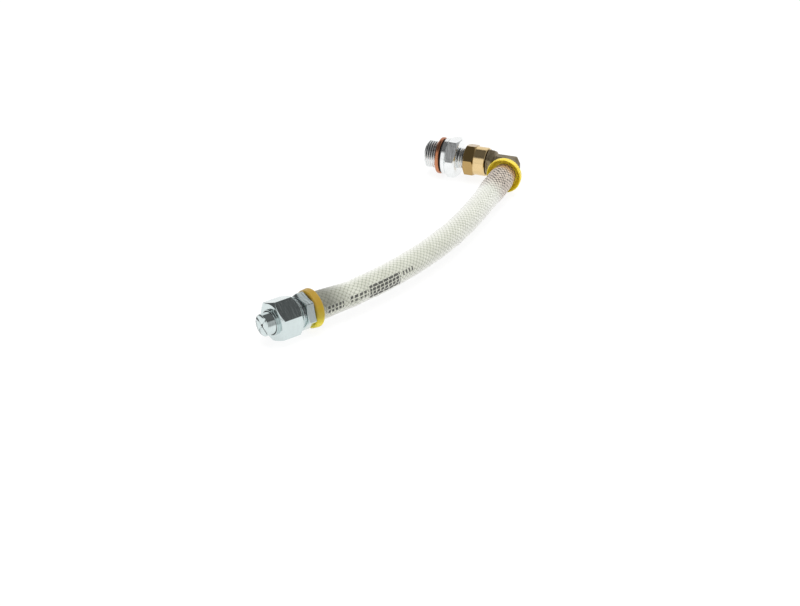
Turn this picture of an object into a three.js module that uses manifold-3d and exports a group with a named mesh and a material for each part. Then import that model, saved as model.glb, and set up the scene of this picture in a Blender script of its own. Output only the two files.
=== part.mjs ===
import * as THREE from "three";
import { mergeVertices } from "three/addons/utils/BufferGeometryUtils.js";
import Module from "manifold-3d";

const wasm = await Module();
wasm.setup();

// Oil drain hose, in millimetres, lying with all its axes at one height.
// X runs along the stud adapter towards the elbow, and the hose leaves the elbow along -Y.

// Fits and facets
const CLEAR = 0.3;
const ROUND_SIDES = 32;
const SEAL_SIDES = 8;
const HOSE_SIDES = 12;
const HOSE_STEPS = 28;
const MERGE_STEP = 1e-4;
const OVERCUT = 2;

// Where the two ends lie
const AXIS_HEIGHT = 12.66;
const ELBOW_X = 28.71;
const ELBOW_Y = 122.53;
const NEAR_FACE_X = -34.26;
const NEAR_FACE_Y = -133.24;
const NEAR_HEADING = THREE.MathUtils.degToRad(58.6);
const BRANCH_HEADING = THREE.MathUtils.degToRad(-90);

// Hexagons: 30 degree chamfers that leave a round face of 0.95 of the width across flats
const CHAMFER_SLOPE = Math.tan(Math.PI / 6);
const FACE_CIRCLE = 0.475;
const CHAMFER_OVERRUN = 1.03;
const PLAIN_END = 0;
const PLAIN_STEP = 0.3;

// Seal cones, 24 degrees in all
const CONE_SLOPE = Math.tan(THREE.MathUtils.degToRad(12));
const CONE_GAP = CLEAR / Math.cos(THREE.MathUtils.degToRad(12));

// Hose
const HOSE_RADIUS = 7.6;
const HOSE_BORE = 4.75;
const SLEEVE_RADIUS = 8.5;
const SLEEVE_MOUTH_RADIUS = 8.1;
const SLEEVE_TIP_RADIUS = 8;
const SLEEVE_WIDEST = 12;
const SLEEVE_TAPER = 6;
const TAIL_LENGTH = 28;
const BARB_PEAK = 5.5;
const BARB_VALLEY = 4.8;
const BARB_COUNT = 4;
const BARB_STEP = 0.35;
const BARB_FACE = 0.2;
const TAIL_BORE = 3.5;
const SEAT_RADIUS = BARB_PEAK + CLEAR;

// End collars: cups that hold the hose end against its fitting
const COLLAR_LENGTH = 4.7;
const COLLAR_FLOOR = 1.2;
const COLLAR_HOLE = 5.9;
const COLLAR_RADIUS = 11.5;
const COLLAR_BACK_RADIUS = 11.1;
const COLLAR_RIM_INNER = 10.8;
const COLLAR_ROUND = 0.7;

// Near end, in distances from the face of the plug's stub
const STUB_RADIUS = 6.4;
const STUB_OUT = 6.6;
const STUB_EDGE = 0.5;
const DRILL_RADIUS = 1;
const DRILL_DEPTH = 0.9;
const SCORE_WIDTH = 0.6;
const SCORE_DEPTH = 0.35;
const SCORE_ROLL = THREE.MathUtils.degToRad(34);
const NUT_LENGTH = 14.6;
const NUT_BOSS_RADIUS = 7.5;
const NUT_BOSS_OUT = 1.4;
const NUT_OPEN_SLOPE = 1;
const NUT_FLATS = 22;
const NUT_ROLL = 52;
const FLANK_START = 8.1;
const SHOULDER_RADIUS = 8;
const SHOULDER_END = 12.3;
const SHOULDER_EDGE = 0.5;
const PLUG_CONE_RADIUS = 6.85;
const PLUG_CONE_END = 17;
const PLUG_NOSE = 0.5;
const PLUG_GROOVE_START = 13.6;
const PLUG_GROOVE_WIDTH = 1.9;
const PLUG_GROOVE_BOTTOM = 5;
const PLUG_SEAL_WIRE = 0.6;
const THREAD_RADIUS = 9;
const THREAD_EDGE = 0.8;
const RELIEF_START = 23.1;
const RELIEF_RADIUS = 8.2;
const INSERT_HEX_START = 24.3;
const INSERT_HEX_END = 29.8;
const INSERT_FLATS = 19;
const INSERT_ROLL = 15;

// Adapter and elbow, in distances along X from the crossing of the elbow's axes
const STUD_TIP = -58.1;
const STUD_RADIUS = 8.9;
const STUD_EDGE = 1;
const STUD_BORE = 5;
const STUD_BORE_END = -41;
const WASHER_START = -49.4;
const WASHER_THICK = 2.5;
const WASHER_WIDTH = 2.8;
const WASHER_ROUND = 0.5;
const FLANGE_START = WASHER_START + WASHER_THICK + CLEAR;
const FLANGE_RADIUS = 12;
const FLANGE_EDGE = 0.5;
const HEX_START = -43;
const HEX_END = -35.5;
const ADAPTER_FLATS = 24;
const ADAPTER_ROLL = 36;
const NECK_RADIUS = 6.9;
const NECK_END = -23.5;
const NECK_BORE = 4;
const NECK_EDGE = 0.6;
const NECK_CONE_RADIUS = 5.9;
const NECK_CONE_DEPTH = 6.9;
const SWIVEL_START = -31.2;
const SWIVEL_HEX_END = -23.9;
const SWIVEL_END = -16.3;
const SWIVEL_FLATS = 19;
const SWIVEL_ROLL = 45;
const SWIVEL_RADIUS = 9.4;
const SWIVEL_EDGE = 0.5;
const SWIVEL_WALL = 4;
const NIPPLE_RADIUS = 5.6;
const NIPPLE_CONE_DEPTH = 6;
const NIPPLE_NOSE = 0.4;
const NIPPLE_BORE = 3;
const WIRE_AT = -18.3;
const WIRE_RADIUS = 0.5;
const WIRE_GROOVE_WIDTH = 1.6;
const WIRE_GROOVE_BOTTOM = 4.85;
const ELBOW_SEAL_DEPTH = 2.2;
const ELBOW_SEAL_WIDTH = 1.5;
const ELBOW_SEAL_BOTTOM = 3.9;
const ELBOW_SEAL_WIRE = 0.45;
const ELBOW_RING_END = -15;
const ELBOW_RING_RADIUS = 8.6;
const ELBOW_HEX_END = -11.2;
const ELBOW_HEX_FLATS = 15.6;
const ELBOW_HEX_ROLL = 60;
const BODY_HALF = 5.9;
const BODY_BEVEL = 5.6;
const BRANCH_SHOULDER = 11.6;
const BRANCH_SHOULDER_RADIUS = 8;
const BRANCH_END = 13.1;

const COLLAR_NEAR_START = INSERT_HEX_END + CLEAR;
const COLLAR_FAR_START = BRANCH_END + CLEAR;
const HOSE_NEAR_START = COLLAR_NEAR_START + COLLAR_FLOOR + CLEAR;
const HOSE_FAR_START = COLLAR_FAR_START + COLLAR_FLOOR + CLEAR;

// Distances along the straight lengths of the hose, from each end's own zero
const NEAR_STRAIGHT = [HOSE_NEAR_START, 40, 48, 56, 61];
const FAR_STRAIGHT = [54, 46, 36, 26, HOSE_FAR_START];

// The bend between them: X from the elbow, and distance in front of it
const BEND = [
  [-28, 196.2], [-22.9, 185], [-18.2, 172.6], [-13.8, 159], [-9.7, 144.6],
  [-6, 128], [-3, 110.2], [-1.1, 91.4], [-0.3, 76], [0, 63.9],
];

const COLOURS = {
  hose: { color: 0xd9d8cc, roughness: 0.85, metalness: 0 },
  collar: { color: 0xd9b21c, roughness: 0.45, metalness: 0 },
  zinc: { color: 0xc3ccd2, roughness: 0.28, metalness: 1 },
  brass: { color: 0xc39a52, roughness: 0.28, metalness: 1 },
  darkBrass: { color: 0x6c6250, roughness: 0.5, metalness: 0.9 },
  copper: { color: 0xa8583a, roughness: 0.35, metalness: 1 },
  steel: { color: 0x9aa0a4, roughness: 0.35, metalness: 1 },
  rubber: { color: 0x1c1c1d, roughness: 0.7, metalness: 0 },
};

// A closed geometry as a solid, with shared corners merged and its faces pointing out
function solidFrom(geometry) {
  const bare = geometry.clone();
  bare.deleteAttribute("normal");
  bare.deleteAttribute("uv");
  const merged = mergeVertices(bare, MERGE_STEP);
  const points = merged.attributes.position;
  const corners = [new THREE.Vector3(), new THREE.Vector3(), new THREE.Vector3()];
  const triangles = [];
  let volume = 0;
  for (let i = 0; i < merged.index.count; i += 3) {
    const ids = [0, 1, 2].map((k) => merged.index.getX(i + k));
    if (ids[0] === ids[1] || ids[1] === ids[2] || ids[2] === ids[0]) continue;
    ids.forEach((id, k) => corners[k].fromBufferAttribute(points, id));
    volume += corners[0].dot(corners[1].cross(corners[2]));
    triangles.push(ids);
  }
  const facing = volume < 0 ? triangles.map((t) => [t[0], t[2], t[1]]) : triangles;
  return new wasm.Manifold(new wasm.Mesh({
    numProp: 3,
    vertProperties: new Float32Array(points.array),
    triVerts: new Uint32Array(facing.flat()),
  }));
}

// A solid as a geometry for a mesh
function geometryFrom(solid) {
  const mesh = solid.getMesh();
  const geometry = new THREE.BufferGeometry();
  geometry.setAttribute("position", new THREE.BufferAttribute(new Float32Array(mesh.vertProperties), 3));
  geometry.setIndex(new THREE.BufferAttribute(new Uint32Array(mesh.triVerts), 1));
  geometry.computeVertexNormals();
  return geometry;
}

// A turned shape about the local X axis, from points of distance along it and radius
function turned(profile, sides = ROUND_SIDES) {
  const points = profile.map(([along, radius]) => new THREE.Vector2(radius, along));
  return new THREE.LatheGeometry(points, sides).rotateZ(-Math.PI / 2);
}

function rod(start, end, radius, sides = ROUND_SIDES) {
  return solidFrom(turned([[start, 0], [start, radius], [end, radius], [end, 0]], sides));
}

// An even-sided bar along local X, one face looking towards the given angle above -Y
function bar(start, end, flats, sides, facetAngle) {
  const corner = flats / 2 / Math.cos(Math.PI / sides);
  const first = Math.PI - THREE.MathUtils.degToRad(facetAngle) + Math.PI / sides;
  const outline = Array.from({ length: sides }, (_, i) => {
    const angle = first + (2 * Math.PI * i) / sides;
    return new THREE.Vector2(corner * Math.cos(angle), corner * Math.sin(angle));
  });
  const geometry = new THREE.ExtrudeGeometry(new THREE.Shape(outline), { depth: end - start, bevelEnabled: false });
  const basis = new THREE.Matrix4().makeBasis(
    new THREE.Vector3(0, 1, 0), new THREE.Vector3(0, 0, 1), new THREE.Vector3(1, 0, 0),
  );
  return solidFrom(geometry.applyMatrix4(basis).translate(start, 0, 0));
}

// A hexagon with its corners chamfered at its ends, each at its own slope or not at all
function hexagon(start, end, flats, facetAngle, startSlope = CHAMFER_SLOPE, endSlope = CHAMFER_SLOPE) {
  const face = FACE_CIRCLE * flats;
  const outer = (flats / Math.sqrt(3)) * CHAMFER_OVERRUN;
  const profile = [
    [start, 0], [start, startSlope ? face : outer], [start + (outer - face) * (startSlope || PLAIN_STEP), outer],
    [end - (outer - face) * (endSlope || PLAIN_STEP), outer], [end, endSlope ? face : outer], [end, 0],
  ];
  return bar(start, end, flats, 6, facetAngle).intersect(solidFrom(turned(profile)));
}

// The profile of a barbed tail from its root to its tip, each barb sloping down to the tip
function barbs(start) {
  const pitch = TAIL_LENGTH / BARB_COUNT;
  const points = [[start, BARB_VALLEY]];
  for (let i = 0; i < BARB_COUNT; i++) {
    const rise = start + (i + BARB_STEP) * pitch;
    points.push([rise, BARB_VALLEY], [rise + BARB_FACE, BARB_PEAK], [start + (i + 1) * pitch, BARB_VALLEY]);
  }
  return points;
}

function ring(centre, middle, wire) {
  const geometry = new THREE.TorusGeometry(middle, wire, SEAL_SIDES, ROUND_SIDES);
  return geometry.rotateY(Math.PI / 2).translate(centre, 0, 0);
}

function piece(name, geometry, look) {
  const mesh = new THREE.Mesh(geometry, new THREE.MeshStandardMaterial({ ...look, flatShading: true }));
  mesh.name = name;
  return mesh;
}

function endGroup(x, y, heading) {
  const group = new THREE.Group();
  group.position.set(x, y, AXIS_HEIGHT);
  group.rotation.z = heading;
  group.updateMatrixWorld(true);
  return group;
}

const nearEnd = endGroup(NEAR_FACE_X, NEAR_FACE_Y, NEAR_HEADING);
const farEnd = endGroup(ELBOW_X, ELBOW_Y, 0);
const branch = endGroup(ELBOW_X, ELBOW_Y, BRANCH_HEADING);

// Solid plug: its stub shows through the nut, its cone closes the insert's mouth
function blankingPlug() {
  const flankEnd = FLANK_START + SHOULDER_RADIUS - STUB_RADIUS;
  const coneEndRadius = PLUG_CONE_RADIUS - (PLUG_CONE_END - SHOULDER_END) * CONE_SLOPE;
  const body = solidFrom(turned([
    [DRILL_DEPTH, 0], [0, DRILL_RADIUS], [0, STUB_RADIUS - STUB_EDGE], [STUB_EDGE, STUB_RADIUS],
    [FLANK_START, STUB_RADIUS], [flankEnd, SHOULDER_RADIUS],
    [SHOULDER_END - SHOULDER_EDGE, SHOULDER_RADIUS], [SHOULDER_END, SHOULDER_RADIUS - SHOULDER_EDGE],
    [SHOULDER_END, PLUG_CONE_RADIUS], [PLUG_CONE_END, coneEndRadius],
    [PLUG_CONE_END + PLUG_NOSE, coneEndRadius - PLUG_NOSE], [PLUG_CONE_END + PLUG_NOSE, 0],
  ]));
  const grooveEnd = PLUG_GROOVE_START + PLUG_GROOVE_WIDTH;
  const groove = rod(PLUG_GROOVE_START, grooveEnd, STUB_RADIUS + OVERCUT)
    .subtract(rod(PLUG_GROOVE_START - 1, grooveEnd + 1, PLUG_GROOVE_BOTTOM));
  return body.subtract(groove).subtract(scoredCross());
}

// Two shallow lines scored across the stub's face
function scoredCross() {
  const line = new THREE.BoxGeometry(2 * SCORE_DEPTH, 2 * STUB_RADIUS + 1, SCORE_WIDTH);
  const first = solidFrom(line.clone().rotateX(SCORE_ROLL));
  const second = solidFrom(line.clone().rotateX(SCORE_ROLL + Math.PI / 2));
  return first.add(second);
}

function unionNut() {
  const end = STUB_OUT + NUT_LENGTH;
  const hole = STUB_RADIUS + CLEAR;
  const inner = THREAD_RADIUS + CLEAR;
  const flankGap = CLEAR * Math.SQRT2;
  const flankAt = (radius) => FLANK_START - flankGap + radius - STUB_RADIUS;
  const bore = solidFrom(turned([
    [STUB_OUT - OVERCUT, 0], [STUB_OUT - OVERCUT, hole], [flankAt(hole), hole], [flankAt(inner), inner],
    [end - THREAD_EDGE, inner], [end, inner + THREAD_EDGE], [end + OVERCUT, inner + THREAD_EDGE],
    [end + OVERCUT, 0],
  ]));
  const boss = rod(STUB_OUT - NUT_BOSS_OUT, STUB_OUT + 1, NUT_BOSS_RADIUS);
  return hexagon(STUB_OUT, end, NUT_FLATS, NUT_ROLL, CHAMFER_SLOPE, NUT_OPEN_SLOPE).add(boss).subtract(bore);
}

function straightInsert() {
  const mouth = SHOULDER_END + CLEAR;
  const tailStart = INSERT_HEX_END;
  const tip = HOSE_NEAR_START + TAIL_LENGTH;
  const mouthRadius = PLUG_CONE_RADIUS - CLEAR * CONE_SLOPE + CONE_GAP;
  const coneEnd = PLUG_CONE_END + PLUG_NOSE + CLEAR;
  const coneEndRadius = mouthRadius - (coneEnd - mouth) * CONE_SLOPE;
  const body = solidFrom(turned([
    [mouth, 0], [mouth, THREAD_RADIUS - THREAD_EDGE], [mouth + THREAD_EDGE, THREAD_RADIUS],
    [RELIEF_START, THREAD_RADIUS], [RELIEF_START, RELIEF_RADIUS], [tailStart, RELIEF_RADIUS],
    [tailStart, BARB_PEAK], ...barbs(HOSE_NEAR_START), [tip, 0],
  ]));
  const bore = solidFrom(turned([
    [mouth - OVERCUT, 0], [mouth - OVERCUT, mouthRadius], [mouth, mouthRadius], [coneEnd, coneEndRadius],
    [coneEnd, TAIL_BORE], [tip + OVERCUT, TAIL_BORE], [tip + OVERCUT, 0],
  ]));
  const hex = hexagon(INSERT_HEX_START, INSERT_HEX_END, INSERT_FLATS, INSERT_ROLL, CHAMFER_SLOPE, PLAIN_END);
  return body.add(hex).subtract(bore);
}

// A cup with a holed floor, flaring towards the hose
function collar(start) {
  const end = start + COLLAR_LENGTH;
  const floor = start + COLLAR_FLOOR;
  const profile = [
    [start, COLLAR_HOLE], [start, COLLAR_BACK_RADIUS - COLLAR_ROUND],
    [start + COLLAR_ROUND, COLLAR_BACK_RADIUS], [end - COLLAR_ROUND, COLLAR_RADIUS],
    [end, COLLAR_RADIUS - COLLAR_ROUND / 2], [end, COLLAR_RIM_INNER], [floor, SLEEVE_RADIUS + CLEAR],
    [floor, COLLAR_HOLE], [start, COLLAR_HOLE],
  ];
  return solidFrom(turned(profile));
}

function studAdapter() {
  const hex = hexagon(HEX_START, HEX_END, ADAPTER_FLATS, ADAPTER_ROLL);
  const body = solidFrom(turned([
    [STUD_TIP, 0], [STUD_TIP, STUD_RADIUS - STUD_EDGE], [STUD_TIP + STUD_EDGE, STUD_RADIUS],
    [FLANGE_START, STUD_RADIUS], [FLANGE_START, FLANGE_RADIUS - FLANGE_EDGE],
    [FLANGE_START + FLANGE_EDGE, FLANGE_RADIUS], [HEX_START + FLANGE_EDGE, FLANGE_RADIUS],
    [HEX_START + FLANGE_EDGE, NECK_RADIUS], [NECK_END - NECK_EDGE, NECK_RADIUS],
    [NECK_END, NECK_RADIUS - NECK_EDGE], [NECK_END, 0],
  ]));
  const coneEnd = NECK_END - NECK_CONE_DEPTH;
  const coneEndRadius = NECK_CONE_RADIUS - NECK_CONE_DEPTH * CONE_SLOPE;
  const bore = solidFrom(turned([
    [STUD_TIP - OVERCUT, 0], [STUD_TIP - OVERCUT, STUD_BORE], [STUD_BORE_END, STUD_BORE],
    [STUD_BORE_END + STUD_BORE - NECK_BORE, NECK_BORE], [coneEnd, NECK_BORE], [coneEnd, coneEndRadius],
    [NECK_END, NECK_CONE_RADIUS], [NECK_END + OVERCUT, NECK_CONE_RADIUS], [NECK_END + OVERCUT, 0],
  ]));
  return body.add(hex).subtract(bore);
}

function copperWasher() {
  const end = WASHER_START + WASHER_THICK;
  const hole = STUD_RADIUS + CLEAR;
  const radius = hole + WASHER_WIDTH;
  return solidFrom(turned([
    [WASHER_START, hole], [WASHER_START, radius - WASHER_ROUND],
    [WASHER_START + WASHER_ROUND, radius], [end - WASHER_ROUND, radius],
    [end, radius - WASHER_ROUND], [end, hole], [WASHER_START, hole],
  ]));
}

function swivelNut() {
  const barrel = solidFrom(turned([
    [SWIVEL_HEX_END - 1, 0], [SWIVEL_HEX_END - 1, SWIVEL_RADIUS], [SWIVEL_END - SWIVEL_EDGE, SWIVEL_RADIUS],
    [SWIVEL_END, SWIVEL_RADIUS - SWIVEL_EDGE], [SWIVEL_END, 0],
  ]));
  const thread = NECK_RADIUS + CLEAR;
  const hole = NIPPLE_RADIUS + CLEAR;
  const wall = SWIVEL_END - SWIVEL_WALL;
  const half = WIRE_GROOVE_WIDTH / 2;
  const groove = WIRE_GROOVE_BOTTOM + 2 * (WIRE_RADIUS + CLEAR);
  const bore = solidFrom(turned([
    [SWIVEL_START - OVERCUT, 0], [SWIVEL_START - OVERCUT, thread + THREAD_EDGE],
    [SWIVEL_START, thread + THREAD_EDGE], [SWIVEL_START + THREAD_EDGE, thread], [wall, thread], [wall, hole],
    [WIRE_AT - half, hole], [WIRE_AT - half, groove], [WIRE_AT + half, groove], [WIRE_AT + half, hole],
    [SWIVEL_END + OVERCUT, hole], [SWIVEL_END + OVERCUT, 0],
  ]));
  return hexagon(SWIVEL_START, SWIVEL_HEX_END, SWIVEL_FLATS, SWIVEL_ROLL).add(barrel).subtract(bore);
}

// The elbow's nipple, which the swivel nut runs on and the adapter's cone takes
function nipple() {
  const coneTop = NECK_CONE_RADIUS - CONE_GAP;
  const coneAt = (depth) => coneTop - depth * CONE_SLOPE;
  const sealEnd = ELBOW_SEAL_DEPTH + ELBOW_SEAL_WIDTH;
  const half = WIRE_GROOVE_WIDTH / 2;
  const tip = NECK_END - NIPPLE_CONE_DEPTH - NIPPLE_NOSE;
  return solidFrom(turned([
    [tip, 0], [tip, coneAt(NIPPLE_CONE_DEPTH) - NIPPLE_NOSE],
    [NECK_END - NIPPLE_CONE_DEPTH, coneAt(NIPPLE_CONE_DEPTH)],
    [NECK_END - sealEnd, coneAt(sealEnd)], [NECK_END - sealEnd, ELBOW_SEAL_BOTTOM],
    [NECK_END - ELBOW_SEAL_DEPTH, ELBOW_SEAL_BOTTOM], [NECK_END - ELBOW_SEAL_DEPTH, coneAt(ELBOW_SEAL_DEPTH)],
    [NECK_END, coneTop], [WIRE_AT - half, NIPPLE_RADIUS], [WIRE_AT - half, WIRE_GROOVE_BOTTOM],
    [WIRE_AT + half, WIRE_GROOVE_BOTTOM], [WIRE_AT + half, NIPPLE_RADIUS],
    [SWIVEL_END + CLEAR, NIPPLE_RADIUS], [SWIVEL_END + CLEAR, ELBOW_RING_RADIUS],
    [ELBOW_RING_END, ELBOW_RING_RADIUS], [ELBOW_RING_END, 0],
  ]));
}

function toBranch(solid) {
  return solid.rotate([0, 0, -90]);
}

// All that lies on one side of the plane that halves the elbow's corner
function beyondMitre(side) {
  const size = 10 * BODY_HALF;
  const block = new THREE.BoxGeometry(size, size, size).translate(0, (side * size) / 2, 0);
  return solidFrom(block.rotateZ(Math.PI / 4));
}

function elbowBody() {
  const hex = hexagon(ELBOW_RING_END - 1, ELBOW_HEX_END, ELBOW_HEX_FLATS, ELBOW_HEX_ROLL, PLAIN_END);
  const along = bar(ELBOW_HEX_END - 1, 2 * BODY_HALF, 2 * BODY_HALF, 8, 0).subtract(beyondMitre(-1));
  const down = toBranch(bar(-2 * BODY_HALF, BRANCH_SHOULDER + 1, 2 * BODY_HALF, 8, 0)).subtract(beyondMitre(1));
  const bevelSize = 4 * BODY_HALF;
  const bevelCentre = BODY_BEVEL / Math.SQRT2 + bevelSize / 2;
  const bevel = new THREE.BoxGeometry(bevelSize, bevelSize, bevelSize).translate(bevelCentre, 0, 0);
  const block = along.add(down).subtract(solidFrom(bevel.rotateZ(Math.PI / 4)));
  const shoulder = toBranch(rod(BRANCH_SHOULDER, BRANCH_END, BRANCH_SHOULDER_RADIUS));
  const tip = HOSE_FAR_START + TAIL_LENGTH;
  const tail = toBranch(solidFrom(turned([
    [BRANCH_SHOULDER, 0], [BRANCH_SHOULDER, BARB_PEAK], ...barbs(HOSE_FAR_START), [tip, 0],
  ])));
  return nipple().add(hex).add(block).add(shoulder).add(tail).subtract(elbowBores(tip));
}

// Both bores end in domes at the crossing, so that the bevelled corner keeps its wall
function elbowBores(tip) {
  const mouth = NECK_END - 2 * NIPPLE_CONE_DEPTH;
  const dome = NIPPLE_BORE * Math.SQRT1_2;
  const run = solidFrom(turned([
    [mouth, 0], [mouth, NIPPLE_BORE], [0, NIPPLE_BORE], [dome, dome], [NIPPLE_BORE, 0],
  ]));
  const outlet = toBranch(solidFrom(turned([
    [-NIPPLE_BORE, 0], [-dome, dome], [0, NIPPLE_BORE], [BRANCH_SHOULDER, NIPPLE_BORE],
    [BRANCH_SHOULDER, TAIL_BORE], [tip + OVERCUT, TAIL_BORE], [tip + OVERCUT, 0],
  ])));
  return run.add(outlet);
}

// Points on the floor plan of an end, at distances along its axis
function pointsAlong(group, distances) {
  return distances.map((d) => new THREE.Vector3(d, 0, 0).applyMatrix4(group.matrixWorld));
}

// The hose's middle line
function hoseRoute() {
  const bend = BEND.map(([x, ahead]) => new THREE.Vector3(ELBOW_X + x, ELBOW_Y - ahead, AXIS_HEIGHT));
  return new THREE.CatmullRomCurve3(
    [...pointsAlong(nearEnd, NEAR_STRAIGHT), ...bend, ...pointsAlong(branch, FAR_STRAIGHT)],
  );
}

function alongRoute(route, radius) {
  const circle = new THREE.Shape(Array.from({ length: HOSE_SIDES }, (_, i) => {
    const angle = (2 * Math.PI * i) / HOSE_SIDES;
    return new THREE.Vector2(radius * Math.cos(angle), radius * Math.sin(angle));
  }));
  return solidFrom(new THREE.ExtrudeGeometry(circle, { steps: HOSE_STEPS, extrudePath: route }));
}

// The stretched end of the hose over a tail, and the wider bore in it
function sleeve(group, start) {
  const end = start + TAIL_LENGTH;
  const profile = [
    [start, 0], [start, SLEEVE_MOUTH_RADIUS], [start + SLEEVE_WIDEST, SLEEVE_RADIUS], [end, SLEEVE_TIP_RADIUS],
    [end + SLEEVE_TAPER, HOSE_RADIUS * Math.cos(Math.PI / HOSE_SIDES)], [end + SLEEVE_TAPER, 0],
  ];
  return solidFrom(turned(profile).applyMatrix4(group.matrixWorld));
}

function sleeveBore(group, start) {
  const end = start + TAIL_LENGTH + CLEAR;
  const profile = [[start - OVERCUT, 0], [start - OVERCUT, SEAT_RADIUS], [end, SEAT_RADIUS], [end + 1, 0]];
  return solidFrom(turned(profile).applyMatrix4(group.matrixWorld));
}

function hose() {
  const route = hoseRoute();
  const outside = alongRoute(route, HOSE_RADIUS)
    .add(sleeve(nearEnd, HOSE_NEAR_START))
    .add(sleeve(branch, HOSE_FAR_START));
  return outside
    .subtract(alongRoute(route, HOSE_BORE))
    .subtract(sleeveBore(nearEnd, HOSE_NEAR_START))
    .subtract(sleeveBore(branch, HOSE_FAR_START));
}

const plugSealMiddle = PLUG_GROOVE_BOTTOM + CLEAR + PLUG_SEAL_WIRE;
const elbowSealMiddle = ELBOW_SEAL_BOTTOM + CLEAR + ELBOW_SEAL_WIRE;
const wireMiddle = WIRE_GROOVE_BOTTOM + CLEAR + WIRE_RADIUS;

nearEnd.add(
  piece("blanking_plug", geometryFrom(blankingPlug()), COLOURS.zinc),
  piece("plug_o_ring", ring(PLUG_GROOVE_START + PLUG_GROOVE_WIDTH / 2, plugSealMiddle, PLUG_SEAL_WIRE), COLOURS.rubber),
  piece("union_nut", geometryFrom(unionNut()), COLOURS.zinc),
  piece("straight_insert", geometryFrom(straightInsert()), COLOURS.zinc),
  piece("near_collar", geometryFrom(collar(COLLAR_NEAR_START)), COLOURS.collar),
);

farEnd.add(
  piece("stud_adapter", geometryFrom(studAdapter()), COLOURS.zinc),
  piece("copper_washer", geometryFrom(copperWasher()), COLOURS.copper),
  piece("swivel_nut", geometryFrom(swivelNut()), COLOURS.brass),
  piece("nut_retaining_wire", ring(WIRE_AT, wireMiddle, WIRE_RADIUS), COLOURS.steel),
  piece("elbow_body", geometryFrom(elbowBody()), COLOURS.darkBrass),
  piece(
    "elbow_o_ring",
    ring(NECK_END - ELBOW_SEAL_DEPTH - ELBOW_SEAL_WIDTH / 2, elbowSealMiddle, ELBOW_SEAL_WIRE),
    COLOURS.rubber,
  ),
);

branch.add(piece("far_collar", geometryFrom(collar(COLLAR_FAR_START)), COLOURS.collar));

const group = new THREE.Group();
group.add(nearEnd, farEnd, branch, piece("hose", geometryFrom(hose()), COLOURS.hose));

export default group;
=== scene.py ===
"""Oil drain hose: builds the dressed model over its fixed frame, in metres."""
import math

import bmesh
import bpy
import numpy as np
from mathutils import Matrix, Vector


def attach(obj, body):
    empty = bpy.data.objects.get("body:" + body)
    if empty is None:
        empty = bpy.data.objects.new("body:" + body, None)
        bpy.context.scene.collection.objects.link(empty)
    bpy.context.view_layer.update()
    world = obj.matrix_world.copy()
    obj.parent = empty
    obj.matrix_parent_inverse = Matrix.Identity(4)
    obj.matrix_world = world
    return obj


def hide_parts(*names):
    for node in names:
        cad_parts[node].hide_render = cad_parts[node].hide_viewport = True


bl_info = {
    "name": "Oil drain hose",
    "version": (1, 0, 0),
    "blender": (4, 5, 0),
    "location": "3D View > Sidebar > Drain hose",
    "description": "Builds a braided oil drain hose with its fittings, its looks and its stage",
    "category": "Add Mesh",
}

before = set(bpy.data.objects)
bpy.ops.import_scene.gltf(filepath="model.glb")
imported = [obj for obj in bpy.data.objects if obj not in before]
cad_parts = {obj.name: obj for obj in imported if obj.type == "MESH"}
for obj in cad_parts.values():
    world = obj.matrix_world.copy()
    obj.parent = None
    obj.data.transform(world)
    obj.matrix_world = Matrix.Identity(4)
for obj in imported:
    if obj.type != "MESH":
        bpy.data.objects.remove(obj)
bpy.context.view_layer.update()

MM = 0.001
TURN = 2 * math.pi

# Places of the two ends, in millimetres
AXIS_HEIGHT = 12.66
ELBOW = (28.71, 122.53)
NEAR_FACE = (-34.26, -133.24)
NEAR_HEADING = 58.6
BRANCH_HEADING = -90

# The hose's middle line, in millimetres: places along the near end's axis and along the elbow's tail,
# and the points of the bend between them, across and ahead of the elbow's corner
NEAR_STRAIGHT = (31.6, 40, 48, 56, 61)
FAR_STRAIGHT = (54, 46, 36, 26, 14.9)
BEND = (
    (-28, 196.2), (-22.9, 185), (-18.2, 172.6), (-13.8, 159), (-9.7, 144.6),
    (-6, 128), (-3, 110.2), (-1.1, 91.4), (-0.3, 76), (0, 63.9),
)

# The hose's mesh, with its lengths in metres
ROW_SPACING = 0.0004
HOSE_SIDES = 132
BORE_ROWS = 48
SMOOTHED_ROWS = 8
TAIL_COVER = 0.0283
TAIL_SLEEVE_RADIUS = 0.0058

# Waves of fine yarn across one bundle of the braid
YARN_WAVES = 4

# Inked dashes along the hose: start and end in metres, lower and upper edge in turns, period and inked share
PRINT_ROWS = (
    (0.0065, 0.019, 0.965, 0.998, 0.0026, 0.62),
    (0.0065, 0.019, 1.012, 1.045, 0.0026, 0.62),
    (0.023, 0.0365, 0.985, 1.012, 0.0030, 0.5),
    (0.023, 0.0365, 1.030, 1.062, 0.0030, 0.66),
    (0.038, 0.0625, 0.925, 0.962, 0.0041, 0.86),
    (0.038, 0.0625, 0.972, 1.006, 0.0031, 0.72),
    (0.038, 0.0625, 1.016, 1.050, 0.0031, 0.76),
    (0.038, 0.0625, 1.060, 1.090, 0.0041, 0.86),
    (0.0645, 0.075, 1.020, 1.075, 0.0026, 0.42),
)

# Chamfers of 30 degrees that leave a round face of this share of the width across flats
CHAMFER_SLOPE = math.tan(math.pi / 6)
FACE_SHARE = 0.475

# Facets of the four hexagons: how far each is turned, in degrees
UNION_FACET = 52
INSERT_FACET = 15
ADAPTER_FACET = 36
SWIVEL_FACET = 45

# Near end: places along its axis from the plug's outer face, in millimetres
BOSS_START = 5.2
UNION_HEX_START = 6.6
UNION_END = 21.2
INSERT_TIP = 12.6
INSERT_THREAD = (13.6, 23.1)
INSERT_HEX = (24.3, 29.8)
NEAR_COLLAR_START = 30.1
NEAR_TAIL_START = 31.6

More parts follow.
